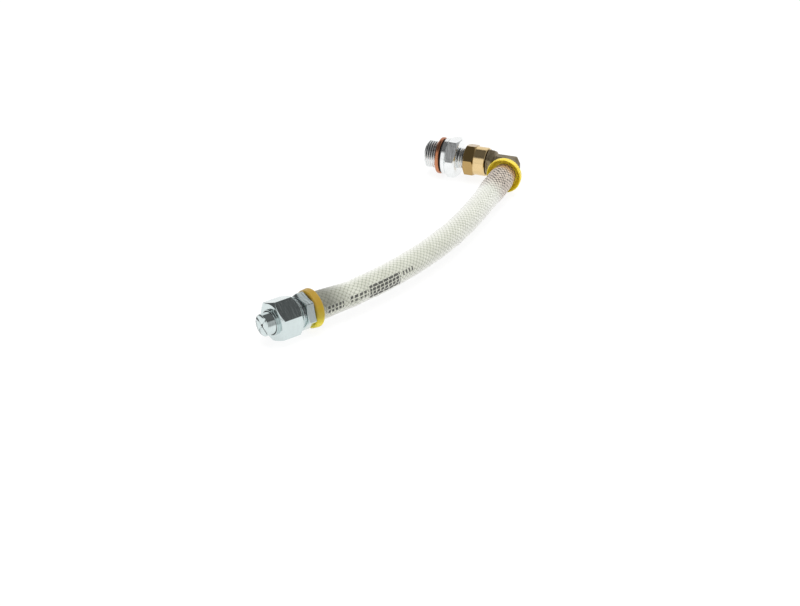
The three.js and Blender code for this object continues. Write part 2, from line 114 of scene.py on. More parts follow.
# Far end: places along the adapter's axis from the elbow's corner, in millimetres
STUD_TIP = -58.1
STUD_THREAD = (-57.2, -48.0)
WASHER = (-49.4, -46.9)
FLANGE = (-46.6, -43.1)
ADAPTER_HEX = (-43.0, -35.5)
NECK_THREAD = (-34.8, -24.3)
NECK_END = -23.5
SWIVEL_START = -31.2
SWIVEL_HEX_END = -23.9
SWIVEL_END = -16.3

# The far collar's place along the elbow's tail, in millimetres
FAR_COLLAR_START = 13.4

# Radii about both axes, in millimetres
STUB_HOLE = 6.7
BOSS_RADIUS = 7.5
UNION_BORE = 9.3
INSERT_CREST = 9.0
INSERT_CORE = 8.2
STUD_CREST = 8.9
STUD_CORE = 8.3
STUD_BORE = 5.0
FLANGE_RADIUS = 12.0
WASHER_HOLE = 9.2
WASHER_RADIUS = 12.0
NECK_CREST = 6.9
NECK_BORE = 4.0
SWIVEL_BORE = 7.2
SWIVEL_BARREL = 9.4
COLLAR_HOLE = 5.9
COLLAR_RADIUS = 11.5

# The near tail, in millimetres
TAIL_LENGTH = 28.0
TAIL_BORE = 3.5
BARB_COUNT = 4
BARB_VALLEY = 4.8
BARB_PEAK = 5.5

# The scored line across the plug's face, whose outer ends get painted shade, in degrees
SCORE_ANGLE = 34

# The elbow's softened edges: size of the even mesh, in metres, and rounds of smoothing
ELBOW_VOXEL = 0.00034
ELBOW_SMOOTHING = 10

# The floor's level, just under the fittings, and what mirrors see of it far out to the right and to the left
FLOOR_LEVEL = -0.0002
FLOOR_RIGHT = 0.4
FLOOR_LEFT = 0.2

# Camera: its lens in millimetres, its place from the elbow in metres, and its angles in degrees
CAMERA_LENS = 85.0
CAMERA_FROM_ELBOW = (0.3289, -1.0821)
CAMERA_HEIGHT = 0.5114
CAMERA_PITCH = 28
CAMERA_TURN = 20.6


def end_matrix(x, y, heading):
    """The frame of one end: its local X runs along the fitting's axis, in metres."""
    place = Matrix.Translation((x * MM, y * MM, AXIS_HEIGHT * MM))
    return place @ Matrix.Rotation(math.radians(heading), 4, "Z")


NEAR = end_matrix(*NEAR_FACE, NEAR_HEADING)
FAR = end_matrix(*ELBOW, 0)
BRANCH = end_matrix(*ELBOW, BRANCH_HEADING)


class HoseSettings(bpy.types.PropertyGroup):
    diameter: bpy.props.FloatProperty(
        name="Hose diameter", description="Outside diameter of the hose", default=0.015, unit="LENGTH")
    sleeve_diameter: bpy.props.FloatProperty(
        name="Stretched diameter", description="Outside diameter over the tails", default=0.017,
        unit="LENGTH")
    bore: bpy.props.FloatProperty(
        name="Bore", description="Inside diameter of the hose", default=0.0095, unit="LENGTH")
    bundles: bpy.props.IntProperty(
        name="Bundles", description="Bundles of yarn in the braid each way round", default=17)
    braid_step: bpy.props.FloatProperty(
        name="Braid step", description="Length of one braid diamond along the hose", default=0.0016,
        unit="LENGTH")
    relief: bpy.props.FloatProperty(
        name="Braid relief", description="Height of the yarn over its gaps", default=0.0002, unit="LENGTH")


class FittingSettings(bpy.types.PropertyGroup):
    near_nut_flats: bpy.props.FloatProperty(
        name="Near nut", description="Width across flats of the union nut", default=0.022, unit="LENGTH")
    insert_flats: bpy.props.FloatProperty(
        name="Insert", description="Width across flats of the straight insert", default=0.019, unit="LENGTH")
    adapter_flats: bpy.props.FloatProperty(
        name="Adapter", description="Width across flats of the stud adapter", default=0.024, unit="LENGTH")
    swivel_flats: bpy.props.FloatProperty(
        name="Swivel nut", description="Width across flats of the brass nut", default=0.019, unit="LENGTH")
    thread_pitch: bpy.props.FloatProperty(
        name="Thread pitch", description="Distance between the crests of the threads", default=0.0015,
        unit="LENGTH")
    edge: bpy.props.FloatProperty(
        name="Edge", description="Softening of the machined edges", default=0.00014, unit="LENGTH")


class FinishSettings(bpy.types.PropertyGroup):
    yarn: bpy.props.FloatVectorProperty(
        name="Yarn", description="Colour of the braid's clean yarn", default=(0.63, 0.64, 0.56),
        subtype="COLOR", size=3, min=0.0, max=1.0)
    near_yellow: bpy.props.FloatVectorProperty(
        name="Near collar", description="Yellow of the near collar's foot", default=(0.88, 0.74, 0.02),
        subtype="COLOR", size=3, min=0.0, max=1.0)
    far_yellow: bpy.props.FloatVectorProperty(
        name="Far collar", description="Yellow of the far collar's foot", default=(0.94, 0.78, 0.03),
        subtype="COLOR", size=3, min=0.0, max=1.0)
    near_zinc: bpy.props.FloatVectorProperty(
        name="Near zinc", description="Colour of the near fitting's zinc plate", default=(0.66, 0.74, 0.74),
        subtype="COLOR", size=3, min=0.0, max=1.0)
    far_zinc: bpy.props.FloatVectorProperty(
        name="Far zinc", description="Colour of the stud adapter's zinc plate", default=(0.92, 0.94, 0.94),
        subtype="COLOR", size=3, min=0.0, max=1.0)
    brass: bpy.props.FloatVectorProperty(
        name="Brass", description="Colour of the turned brass nut", default=(0.82, 0.62, 0.33),
        subtype="COLOR", size=3, min=0.0, max=1.0)
    dull_brass: bpy.props.FloatVectorProperty(
        name="Elbow", description="Middle tone of the dulled brass elbow", default=(0.29, 0.24, 0.16),
        subtype="COLOR", size=3, min=0.0, max=1.0)
    copper: bpy.props.FloatVectorProperty(
        name="Copper", description="Colour of the sealing washer", default=(0.60, 0.25, 0.13),
        subtype="COLOR", size=3, min=0.0, max=1.0)


class StageSettings(bpy.types.PropertyGroup):
    floor_size: bpy.props.FloatProperty(
        name="Floor", description="Side of the square floor", default=12.0, unit="LENGTH")
    key_strength: bpy.props.FloatProperty(
        name="Key light", description="Power of the soft light overhead, in watts", default=26.0)
    fill_strength: bpy.props.FloatProperty(
        name="Fill light", description="Power of the soft light at the side, in watts", default=7.0)
    ambient: bpy.props.FloatProperty(
        name="Ambient", description="Strength of the world's plain light", default=0.42)


def catmull_rom(points, per_span=24):
    """A smooth line through the points, with centripetal spacing."""
    pts = [np.array(p, float) for p in points]
    ends = [2 * pts[0] - pts[1]] + pts + [2 * pts[-1] - pts[-2]]
    line = []
    for p0, p1, p2, p3 in zip(ends, ends[1:], ends[2:], ends[3:]):
        t1 = np.linalg.norm(p1 - p0) ** 0.5
        t2 = t1 + np.linalg.norm(p2 - p1) ** 0.5
        t3 = t2 + np.linalg.norm(p3 - p2) ** 0.5
        for t in np.linspace(t1, t2, per_span, endpoint=False):
            a1 = p0 * (t1 - t) / t1 + p1 * t / t1
            a2 = p1 * (t2 - t) / (t2 - t1) + p2 * (t - t1) / (t2 - t1)
            a3 = p2 * (t3 - t) / (t3 - t2) + p3 * (t - t2) / (t3 - t2)
            b1 = a1 * (t2 - t) / t2 + a2 * t / t2
            b2 = a2 * (t3 - t) / (t3 - t1) + a3 * (t - t1) / (t3 - t1)
            line.append(b1 * (t2 - t) / (t2 - t1) + b2 * (t - t1) / (t2 - t1))
    line.append(pts[-1])
    return np.array(line)


def hose_route():
    """The middle line of the hose, in metres, with its distances along."""
    near = [NEAR @ Vector((d * MM, 0, 0)) for d in NEAR_STRAIGHT]
    bend = [((ELBOW[0] + x) * MM, (ELBOW[1] - ahead) * MM, AXIS_HEIGHT * MM) for x, ahead in BEND]
    far = [BRANCH @ Vector((d * MM, 0, 0)) for d in FAR_STRAIGHT]
    line = catmull_rom([*near, *bend, *far])
    along = np.concatenate([[0], np.cumsum(np.linalg.norm(np.diff(line, axis=0), axis=1))])
    return line, along


def link(obj):
    bpy.context.scene.collection.objects.link(obj)
    return obj


def make_mesh(name, vertices, faces, uvs=None):
    """A smooth-shaded object; uvs holds one pair for each corner of each face."""
    mesh = bpy.data.meshes.new(name)
    mesh.from_pydata([tuple(v) for v in vertices], [], [tuple(f) for f in faces])
    if uvs is not None:
        layer = mesh.uv_layers.new(name="along")
        layer.data.foreach_set("uv", np.asarray(uvs, "f").ravel())
    mesh.validate()
    mesh.shade_smooth()
    return link(bpy.data.objects.new(name, mesh))


def soften(points, keep, edge):
    """Each corner of an open line becomes a small round with a holding point on both sides."""
    out = [points[0]]
    for k in range(1, len(points) - 1):
        here = points[k]
        if keep[k]:
            out.append(here)
            continue
        before, after = points[k - 1] - here, points[k + 1] - here
        size_b, size_a = np.linalg.norm(before) + 1e-9, np.linalg.norm(after) + 1e-9
        wb, wa = min(edge, 0.2 * size_b), min(edge, 0.2 * size_a)
        out += [here + before / size_b * 2 * wb, here + before / size_b * wb]
        out.append(here + (before / size_b * wb + after / size_a * wa) * 0.18)
        out += [here + after / size_a * wa, here + after / size_a * 2 * wa]
    out.append(points[-1])
    return out


def turned_object(name, stations, matrix, angles, edge, closed=False):
    """A surface about local X. A station is (along, radius) or a function of the angle, in millimetres.

    A function's station is kept as it is unless it carries soft = True."""
    keep = [callable(s) and not getattr(s, "soft", False) for s in stations]
    if closed:
        stations, keep = [*stations, stations[0], stations[1]], [*keep, keep[0], keep[1]]
    columns = []
    for a in angles:
        line = [np.array(s(a) if callable(s) else s, float) for s in stations]
        column = soften(line, keep, edge)
        columns.append(column[1:-1] if closed else column)
    rows = len(columns[0])
    n = len(angles)
    vertices = [(c[r][0] * MM, c[r][1] * math.cos(a) * MM, c[r][1] * math.sin(a) * MM)
                for a, c in zip(angles, columns) for r in range(rows)]
    faces = []
    for i in range(n):
        j = (i + 1) % n
        for r in range(rows if closed else rows - 1):
            q = (r + 1) % rows
            faces.append((i * rows + r, i * rows + q, j * rows + q, j * rows + r))
    obj = make_mesh(name, vertices, faces)
    tidy_mesh(obj)
    obj.matrix_world = matrix
    return obj


def tidy_mesh(obj):
    """Join the doubled points on the axis and turn the faces outwards."""
    work = bmesh.new()
    work.from_mesh(obj.data)
    bmesh.ops.remove_doubles(work, verts=work.verts, dist=1e-7)
    bmesh.ops.dissolve_degenerate(work, edges=work.edges, dist=1e-8)
    bmesh.ops.recalc_face_normals(work, faces=work.faces)
    work.to_mesh(obj.data)
    work.free()
    obj.data.shade_smooth()


def round_angles(count=128):
    return [TURN * i / count for i in range(count)]


class Hexagon:
    """A hexagonal bar of stock: its radius at each angle, with rounded corners."""

    def __init__(self, flats, facet, corner=0.35):
        self.half = flats / 2
        self.first = math.pi - math.radians(facet)
        self.corner = corner
        self.inner = self.half - corner
        self.flat_end = math.atan2(self.inner * math.tan(math.pi / 6), self.half)

    def radius(self, angle):
        step = math.pi / 3
        off = abs((angle - self.first + step / 2) % step - step / 2)
        if off <= self.flat_end:
            return self.half / math.cos(off)
        reach = self.inner / math.cos(math.pi / 6)
        side = math.pi / 6 - off
        return reach * math.cos(side) + math.sqrt(max(self.corner ** 2 - (reach * math.sin(side)) ** 2, 0))

    def angles(self):
        """Angles that meet the corners' rounds, with holding angles beside them."""
        flat, top = self.flat_end, math.pi / 6
        half = [flat * share for share in (0, 0.25, 0.5, 0.72, 0.9, 0.97)]
        half += [flat + (top - flat) * share for share in (0, 0.4, 0.75)]
        facet = [-top] + [-angle for angle in reversed(half[1:])] + half
        return [(self.first + k * math.pi / 3 + angle) % TURN for k in range(6) for angle in facet]

    def edge(self, end, face, sign, slope=CHAMFER_SLOPE):
        """The station where an end's chamfer meets the flats."""
        def station(angle):
            radius = self.radius(angle)
            return end + sign * max(radius - face, 0) * slope, radius
        station.soft = True
        return station

    def wall(self, along):
        def station(angle):
            return along, self.radius(angle)
        station.soft = True
        return station


def thread_stations(start, end, crest, pitch, depth):
    """Stations of a right-hand thread between two distances, fading at both ends."""
    fade, least, steepness, rows_per_turn = 1.2, 0.15, 1.15, 10
    rows = int(round(abs(end - start) / pitch * rows_per_turn))

    def at(along):
        def station(angle):
            phase = (along / pitch - angle / TURN) % 1
            wave = 1 - abs(2 * phase - 1)
            ramp = min(1, min(abs(along - start), abs(end - along)) / fade + least)
            return along, crest - depth * ramp * (1 - min(1, wave * steepness))
        return station
    return [at(start + (end - start) * i / rows) for i in range(rows + 1)]


def cad_copy(name, node, smooth_angle=32):
    """A smooth-shaded copy of a node's own shape."""
    source = bpy.data.objects[node]
    obj = link(bpy.data.objects.new(name, source.data.copy()))
    obj.matrix_world = source.matrix_world.copy()
    tidy_mesh(obj)
    obj.data.set_sharp_from_angle(angle=math.radians(smooth_angle))
    return obj


class Nodes:
    """Short ways to add nodes to a shader tree."""

    def __init__(self, tree):
        self.tree = tree

    def node(self, kind, **values):
        made = self.tree.nodes.new(kind)
        for key, value in values.items():
            setattr(made, key, value)
        return made

    def wire(self, source, socket):
        if isinstance(source, bpy.types.NodeSocket):
            self.tree.links.new(source, socket)
        else:
            socket.default_value = source

    def math(self, operation, a, b=0.0, c=0.0):
        made = self.node("ShaderNodeMath", operation=operation)
        for value, socket in zip((a, b, c), made.inputs):
            self.wire(value, socket)
        return made.outputs[0]

    def object_point(self):
        return self.node("ShaderNodeTexCoord").outputs["Object"]

    def stretched(self, point, scale):
        made = self.node("ShaderNodeMapping")
        self.wire(point, made.inputs["Vector"])
        made.inputs["Scale"].default_value = scale
        return made.outputs[0]

    def noise(self, point, scale, detail=3.0, rough=0.5):
        made = self.node("ShaderNodeTexNoise")
        self.wire(point, made.inputs["Vector"])
        made.inputs["Scale"].default_value = scale
        made.inputs["Detail"].default_value = detail
        made.inputs["Roughness"].default_value = rough
        return made.outputs["Fac"]

    def ramp(self, value, *stops):
        made = self.node("ShaderNodeValToRGB")
        self.wire(value, made.inputs["Fac"])
        elements = made.color_ramp.elements
        while len(elements) < len(stops):
            elements.new(0.5)
        for element, (position, colour) in zip(elements, stops):
            element.position = position
            element.color = (*colour, 1)
        return made.outputs["Color"]

    def mix(self, factor, a, b):
        made = self.node("ShaderNodeMix", data_type="RGBA")
        self.wire(factor, made.inputs["Factor"])
        for value, key in ((a, 6), (b, 7)):
            self.wire(value if isinstance(value, bpy.types.NodeSocket) else (*value, 1), made.inputs[key])
        return made.outputs[2]

    def scale_range(self, value, low, high, to_low, to_high):
        made = self.node("ShaderNodeMapRange", clamp=True)
        for number, key in ((value, 0), (low, 1), (high, 2), (to_low, 3), (to_high, 4)):
            self.wire(number, made.inputs[key])
        return made.outputs[0]

    def mix_shaders(self, factor, a, b):
        made = self.node("ShaderNodeMixShader")
        for value, socket in zip((factor, a, b), made.inputs):
            self.wire(value, socket)
        return made.outputs[0]

    def place(self, output, source="ShaderNodeTexCoord"):
        """The three parts of a place or direction."""
        split = self.node("ShaderNodeSeparateXYZ")
        self.wire(self.node(source).outputs[output], split.inputs[0])
        return split.outputs


class Look(Nodes):
    """A material being built from nodes."""

    def __init__(self, name, **settings):
        self.material = bpy.data.materials.new(name)
        self.material.use_nodes = True
        super().__init__(self.material.node_tree)
        self.shader = self.tree.nodes["Principled BSDF"]
        for key, value in settings.items():
            self.shader.inputs[key.replace("_", " ").title()].default_value = value

    def bump(self, height, strength, distance):
        made = self.node("ShaderNodeBump")
        self.wire(height, made.inputs["Height"])
        made.inputs["Strength"].default_value = strength
        made.inputs["Distance"].default_value = distance
        self.wire(made.outputs[0], self.shader.inputs["Normal"])

    def set(self, key, value):
        self.wire(value, self.shader.inputs[key])


def metal_look(name, base, shade, roughness, streak, tarnish):
    """Turned or drawn metal: streaks across the bar, small marks and a patchy finish."""
    look = Look(name, metallic=1.0)
    point = look.object_point()
    streaks = look.noise(look.stretched(point, (900, 150, 150)), 1.0, 3.0)
    patches = look.noise(point, 260.0, 4.0, 0.6)
    marks = look.noise(look.stretched(point, (1500, 500, 500)), 1.0, 2.0)
    blend = look.scale_range(patches, 0.35, 0.75, 0.0, tarnish)
    colour = look.mix(blend, base, shade)
    look.set("Base Color", look.mix(look.scale_range(streaks, 0.3, 0.8, 0.0, 0.2 * streak), colour, shade))
    rough = look.math("MULTIPLY_ADD", streaks, 0.12 * streak, roughness)
    look.set("Roughness", look.math("MULTIPLY_ADD", look.scale_range(marks, 0.55, 0.8, 0, 1), 0.06, rough))
    look.bump(look.math("MULTIPLY_ADD", patches, 0.3, streaks), 0.35 * streak, 0.00016)
    return look


def zinc_look(name, base):
    return metal_look(name, base, tuple(0.76 * part for part in base), 0.1, 1.1, 0.2)


def paint_shade(look, factor):
    """Painted shade: dull, dark colour wherever the factor is one."""
    metal = look.shader.inputs["Base Color"].links[0].from_socket
    look.set("Base Color", look.mix(factor, metal, (0.02, 0.022, 0.024)))
    look.set("Metallic", look.scale_range(factor, 0.0, 1.0, 1.0, 0.2))


def inside(look, value, low, high):
    """One between the two limits."""
    return look.math("MULTIPLY", look.math("GREATER_THAN", value, low), look.math("LESS_THAN", value, high))


def around_axis(look):
    """The object's own x, y and z, and the distance from its X axis."""
    x, y, z = look.place("Object")
    square = look.math("MULTIPLY_ADD", y, y, look.math("MULTIPLY", z, z))
    return x, y, z, look.math("SQRT", square)


def threaded_look(name, base, threads=(), grooves=()):
    """Zinc with painted shade in the thread roots, most on the upper side, and painted shade in grooves all
    the way round.

    Each is its start, its end and the radius below which it is dark, in metres."""
    look = zinc_look(name, base)
    x, _, z, radius = around_axis(look)
    # Painted shade: the thread roots are darkest on the upper side.
    upper = look.scale_range(z, -0.001, 0.003, 0.05, 1.0)
    total = 0.0
    for rows, share in ((threads, upper), (grooves, 1.0)):
        for start, end, root in rows:
            recess_shade = look.scale_range(radius, root, root + 0.0004, 1.0, 0.0)
            recess_shade = look.math("MULTIPLY", recess_shade, inside(look, x, start, end))
            total = look.math("MAXIMUM", total, look.math("MULTIPLY", recess_shade, share))
    paint_shade(look, look.math("MULTIPLY", total, 0.95))
    return look


def plug_look(base):
    """Zinc with painted shade in the centre hole and in the outer ends of one scored groove."""
    look = zinc_look("plug zinc", base)
    x, y, z, radius = around_axis(look)
    turn = math.radians(SCORE_ANGLE)
    offset = look.math("SUBTRACT", look.math("MULTIPLY", z, math.cos(turn)),
                       look.math("MULTIPLY", y, math.sin(turn)))
    line = look.math("MULTIPLY", look.math("LESS_THAN", look.math("ABSOLUTE", offset), 0.0006),
                     inside(look, radius, 0.0033, 0.0059))
    marks = look.math("MAXIMUM", line, look.math("LESS_THAN", radius, 0.0009))
    # Painted shade only below the face, inside the hole and the groove.
    paint_shade(look, look.math("MULTIPLY", marks, inside(look, x, 0.00008, 0.0012)))
    return look


def brass_look(base):
    """Turned brass, with painted shade on the hexagon's flats."""
    look = metal_look("turned brass", base, (0.62, 0.44, 0.21), 0.15, 0.3, 0.3)
    x = look.place("Object")[0]
    # Painted shade: the flats are darker, in place of the shadowed floor they would mirror.
    flats = look.scale_range(x, -0.0243, -0.0237, 1.0, 0.0)
    unshaded_brass = look.shader.inputs["Base Color"].links[0].from_socket
    look.set("Base Color", look.mix(look.math("MULTIPLY", flats, 0.85), unshaded_brass, (0.42, 0.27, 0.09)))
    return look


def copper_look(base):
    return metal_look("copper", base, (0.34, 0.13, 0.07), 0.24, 0.4, 0.6)


def wire_look():
    return metal_look("drawn wire", (0.62, 0.63, 0.64), (0.4, 0.41, 0.42), 0.3, 0.5, 0.3)


def dark_brass_look(base):
    """Pressed brass, dulled unevenly round its middle tone."""
    look = Look("dulled brass", metallic=0.85)
    point = look.object_point()
    patches = look.noise(point, 180.0, 5.0, 0.65)
    grain = look.noise(point, 1600.0, 3.0)
    look.set("Base Color", look.ramp(
        patches, (0.3, (0.17, 0.135, 0.08)), (0.55, base), (0.8, (0.42, 0.35, 0.25))))
    look.set("Roughness", look.scale_range(grain, 0.2, 0.8, 0.34, 0.55))
    look.bump(look.math("MULTIPLY_ADD", patches, 1.5, grain), 0.35, 0.0001)
    return look


def plastic_look(name, low, middle, top):
    """Moulded yellow plastic, its tone changing from the foot to the top of the collar."""
    look = Look(name, roughness=0.38, subsurface_weight=0.08, subsurface_scale=0.001)
    look.shader.inputs["Subsurface Radius"].default_value = (1.0, 0.7, 0.1)
    point = look.object_point()
    height = look.scale_range(look.place("Object")[2], -0.011, 0.011, 0.0, 1.0)
    tone = look.math("MULTIPLY_ADD", look.noise(point, 220.0, 3.0), 0.2, height)
    look.set("Base Color", look.ramp(tone, (0.3, low), (0.6, middle), (0.95, top)))
    look.set("Roughness", look.scale_range(look.noise(point, 900.0), 0.2, 0.8, 0.3, 0.46))
    look.bump(look.noise(point, 700.0, 4.0), 0.12, 0.0002)
    return look


def rubber_look():
    look = Look("seal rubber", roughness=0.6)
    point = look.object_point()
    look.set("Base Color", look.ramp(
        look.noise(point, 400.0, 4.0), (0.3, (0.012, 0.012, 0.013)), (0.7, (0.03, 0.03, 0.032))))
    look.bump(look.noise(point, 1500.0, 3.0), 0.2, 0.0001)
    return look


def braid_pattern(look, settings, around, along):
    """Height of the crossed bundles, nought in their gaps, and the fine yarns within them."""
    step = look.math("DIVIDE", along, 2 * settings.braid_step)
    turn = look.math("MULTIPLY", around, settings.bundles)
    p, q = look.math("ADD", turn, step), look.math("SUBTRACT", turn, step)
    fp, fq = look.math("FRACT", p), look.math("FRACT", q)
    cell = look.math("ADD", look.math("FLOOR", p), look.math("FLOOR", q))
    odd = look.math("FLOORED_MODULO", cell, 2.0)
    even = look.math("SUBTRACT", 1.0, odd)
    sp = look.math("SINE", look.math("MULTIPLY", fp, math.pi))
    sq = look.math("SINE", look.math("MULTIPLY", fq, math.pi))

    def bundle(across, along_it):
        return look.math("MULTIPLY", across, look.math("MULTIPLY_ADD", along_it, 0.5, 0.5))

    over = look.math("ADD", look.math("MULTIPLY", bundle(sp, sq), even),
                     look.math("MULTIPLY", bundle(sq, sp), odd))
    strand = look.math("ADD", look.math("MULTIPLY", fp, even), look.math("MULTIPLY", fq, odd))
    return over, look.math("SINE", look.math("MULTIPLY", strand, TURN * YARN_WAVES))


def braid_colour(look, yarn, length, around, along, over):
    """Pale yarn with dark gaps and a painted sheen towards the outline: greyed over the upper side of the
    near tail, browned and specked over the far one, with a painted orange reflection of the collar by its
    mouth.
    """
    near_tail = look.scale_range(along, 0.010, 0.026, 1.0, 0.0)
    far_tail = look.scale_range(along, length - 0.038, length - 0.024, 0.0, 1.0)
    # The braid by the far collar's mouth, where a painted reflection of the collar goes.
    mouth = look.scale_range(along, length - 0.011, length - 0.005, 0.0, 1.0)
    side = look.math("SINE", look.math("MULTIPLY", around, TURN))
    upper = look.scale_range(side, -0.2, 0.4, 0.0, 1.0)
    # Painted sheen: yarn and gaps lighter where the hose turns away towards its outline.
    painted_sheen = look.scale_range(look.node("ShaderNodeLayerWeight").outputs["Facing"], 0.36, 0.8, 0.0, 1.0)
    # Darker over the upper side of the near tail.
    near_tail_dark = look.math("MULTIPLY", look.math("MULTIPLY", near_tail, upper), 0.9)

    patch = look.noise(look.object_point(), 120.0, 3.0)
    pale = look.mix(look.scale_range(patch, 0.3, 0.7, 0, 1), yarn, (0.55, 0.56, 0.48))
    pale = look.mix(painted_sheen, pale, (0.94, 0.94, 0.91))
    pale = look.mix(look.math("MULTIPLY", far_tail, 0.75), pale, (0.56, 0.45, 0.37))
    # Painted reflection: the far collar's orange tint on the braid by its mouth.
    pale = look.mix(look.math("MULTIPLY", mouth, 0.85), pale, (0.58, 0.32, 0.08))
    pale = look.mix(near_tail_dark, pale, (0.15, 0.155, 0.125))

    dark = look.mix(painted_sheen, (0.26, 0.28, 0.21), (0.66, 0.66, 0.60))
    dark = look.mix(look.math("MULTIPLY", near_tail_dark, 0.8), dark, (0.04, 0.043, 0.035))
    dark = look.mix(far_tail, dark, (0.10, 0.07, 0.05))
    gap = look.scale_range(over, 0.12, 0.5, 1.0, 0.0)
    colour = look.mix(look.math("MULTIPLY", gap, 0.85), pale, dark)

    speck_zone = look.math("MULTIPLY", far_tail, look.scale_range(side, 0.0, 0.5, 0.0, 1.0))
    crossing = look.scale_range(over, 0.48, 0.62, 1.0, 0.0)
    worn = look.scale_range(look.noise(look.object_point(), 420.0, 2.0), 0.40, 0.50, 0.0, 1.0)
    specks = look.math("MULTIPLY", look.math("MULTIPLY", crossing, worn), speck_zone)
    return look.mix(look.math("MULTIPLY", specks, 0.9), colour, (0.03, 0.025, 0.02))


def braid_look(settings, yarn, length):
    """Crossed bundles of pale yarn, read from the hose's own map: turns round, metres along."""
    look = Look("textile braid", roughness=0.88, sheen_weight=0.25, sheen_roughness=0.5)
    parts = look.node("ShaderNodeSeparateXYZ")
    look.wire(look.node("ShaderNodeUVMap", uv_map="along").outputs[0], parts.inputs[0])
    around, along = parts.outputs[0], parts.outputs[1]
    over, yarns = braid_pattern(look, settings, around, along)
    colour = braid_colour(look, yarn, length, around, along, over)
    ink = look.math("MULTIPLY", print_marks(look, around, along), 0.93)
    colour = look.mix(ink, colour, (0.025, 0.025, 0.025))
    fuzz = look.noise(look.object_point(), 2600.0, 3.0)
    look.set("Base Color", look.mix(look.scale_range(fuzz, 0.3, 0.8, 0.0, 0.14), colour, (0.45, 0.45, 0.4)))
    height = look.math("MULTIPLY_ADD", yarns, 0.12, over)
    look.bump(look.math("MULTIPLY_ADD", fuzz, 0.25, height), 0.55, settings.relief)
    return look


def print_marks(look, around, along):
    """Plain inked dashes along the lower front of the hose, in place of any print."""
    lifted = look.math("ADD", look.math("FLOORED_MODULO", look.math("ADD", around, 0.5), 1.0), 0.5)

    def dashes(start, end, low, high, period, share):
        run = look.math("LESS_THAN", look.math("FRACT", look.math("DIVIDE", along, period)), share)
        place = look.math("MULTIPLY", inside(look, along, start, end), inside(look, lifted, low, high))
        return look.math("MULTIPLY", run, place)

    total = 0.0
    for row in PRINT_ROWS:
        total = look.math("MAXIMUM", total, dashes(*row))
    return total


def dress(obj, look, node, body):
    """Give a piece its material, its finish and its place on the frame."""
    obj.data.materials.clear()
    obj.data.materials.append(look.material)
    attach(obj, body)
    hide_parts(node)
    return obj


class SCENE_OT_drain_camera(bpy.types.Operator):
    """Place the camera at the photograph's angle"""
    bl_idname = "scene.drain_camera"
    bl_label = "Place camera"

    def execute(self, context):
        camera = bpy.data.objects.new("camera", bpy.data.cameras.new("camera"))
        link(camera)
        camera.data.lens = CAMERA_LENS
        camera.data.sensor_width = 36.0
        camera.data.clip_start = 0.01
        across, ahead = (ELBOW[k] * MM + CAMERA_FROM_ELBOW[k] for k in range(2))
        camera.location = (across, ahead, CAMERA_HEIGHT)
        camera.rotation_euler = (math.radians(90 - CAMERA_PITCH), 0, math.radians(CAMERA_TURN))
        context.scene.camera = camera
        return {"FINISHED"}


class MESH_OT_drain_hose(bpy.types.Operator):
    """Build the braided hose along its route"""
    bl_idname = "mesh.drain_hose"
    bl_label = "Add braided hose"

    def execute(self, context):
        sizes = context.scene.drain_hose
        line, along = hose_route()
        length = float(along[-1])
        hose = hose_tube("braided_hose", line, along, sizes)
        look = braid_look(sizes, context.scene.drain_finish.yarn, length)
        dress(hose, look, "hose", "hose_assembly")
        return {"FINISHED"}


def hose_tube(name, line, along, sizes):
    """The braided outside and the bore as one closed tube, mapped in turns round and metres along."""
    length = float(along[-1])
    places = np.linspace(0, length, int(length / ROW_SPACING) + 1)
    back = np.linspace(length, 0, BORE_ROWS)
    angles = np.arange(HOSE_SIDES) / HOSE_SIDES
    relief = braid_height(angles[None, :], places[:, None], sizes)
    outer = hose_radius(places, length, sizes)[:, None] + relief
    vertices = []
    for distance, radius in zip(places, outer):
        vertices += ring_points(line, along, distance, angles, radius)
    for distance in back:
        over_tail = min(distance, length - distance) < TAIL_COVER
        radius = TAIL_SLEEVE_RADIUS if over_tail else sizes.bore / 2
        vertices += ring_points(line, along, distance, angles, np.full(HOSE_SIDES, radius))
    marks = [*places, *back]
    faces, uvs = [], []
    for r, here in enumerate(marks):
        q = (r + 1) % len(marks)
        for i in range(HOSE_SIDES):
            j = (i + 1) % HOSE_SIDES
            faces.append(tuple(row * HOSE_SIDES + side for row, side in ((r, i), (r, j), (q, j), (q, i))))
            for side, distance in ((i, here), (i + 1, here), (i + 1, marks[q]), (i, marks[q])):
                uvs.append((side / HOSE_SIDES, distance))
    hose = make_mesh(name, vertices, faces, uvs)
    hose.data.flip_normals()
    return hose


def ring_points(line, along, distance, angles, radius):
    """One ring of the hose: its first angle looks to the hose's right, turning over its top."""
    behind, centre, ahead = (
        np.array([np.interp(distance + shift, along, line[:, k]) for k in range(3)])
        for shift in (-MM, 0, MM))
    heading = (ahead - behind) / np.linalg.norm(ahead - behind)
    side = np.cross(heading, (0, 0, 1))
    up = np.cross(side, heading)
    return [centre + r * (math.cos(TURN * a) * side + math.sin(TURN * a) * up)
            for a, r in zip(angles, radius)]


def hose_radius(places, length, sizes):
    """The hose's radius along it: stretched over both tails, narrower where the collars hold it."""
    plain, wide = sizes.diameter / 2, sizes.sleeve_diameter / 2
    mouth = plain - 0.0002
    near = np.interp(places, (0, 0.008, 0.018, 0.029), (wide - 0.0001, wide - 0.0001, plain + 0.0004, plain))
    ahead = length - places
    swell = wide - 0.0003
    far = np.interp(ahead, (0, 0.0045, 0.0075, 0.013, 0.025, 0.042),
                    (mouth, mouth, swell, swell, swell, plain))
    radius = np.where(places < length / 2, near, far)
    kernel = np.hanning(2 * SMOOTHED_ROWS + 1)
    kernel = kernel / kernel.sum()
    smooth = np.convolve(np.pad(radius, SMOOTHED_ROWS, mode="edge"), kernel, mode="valid")
    return smooth - 0.5 * sizes.relief


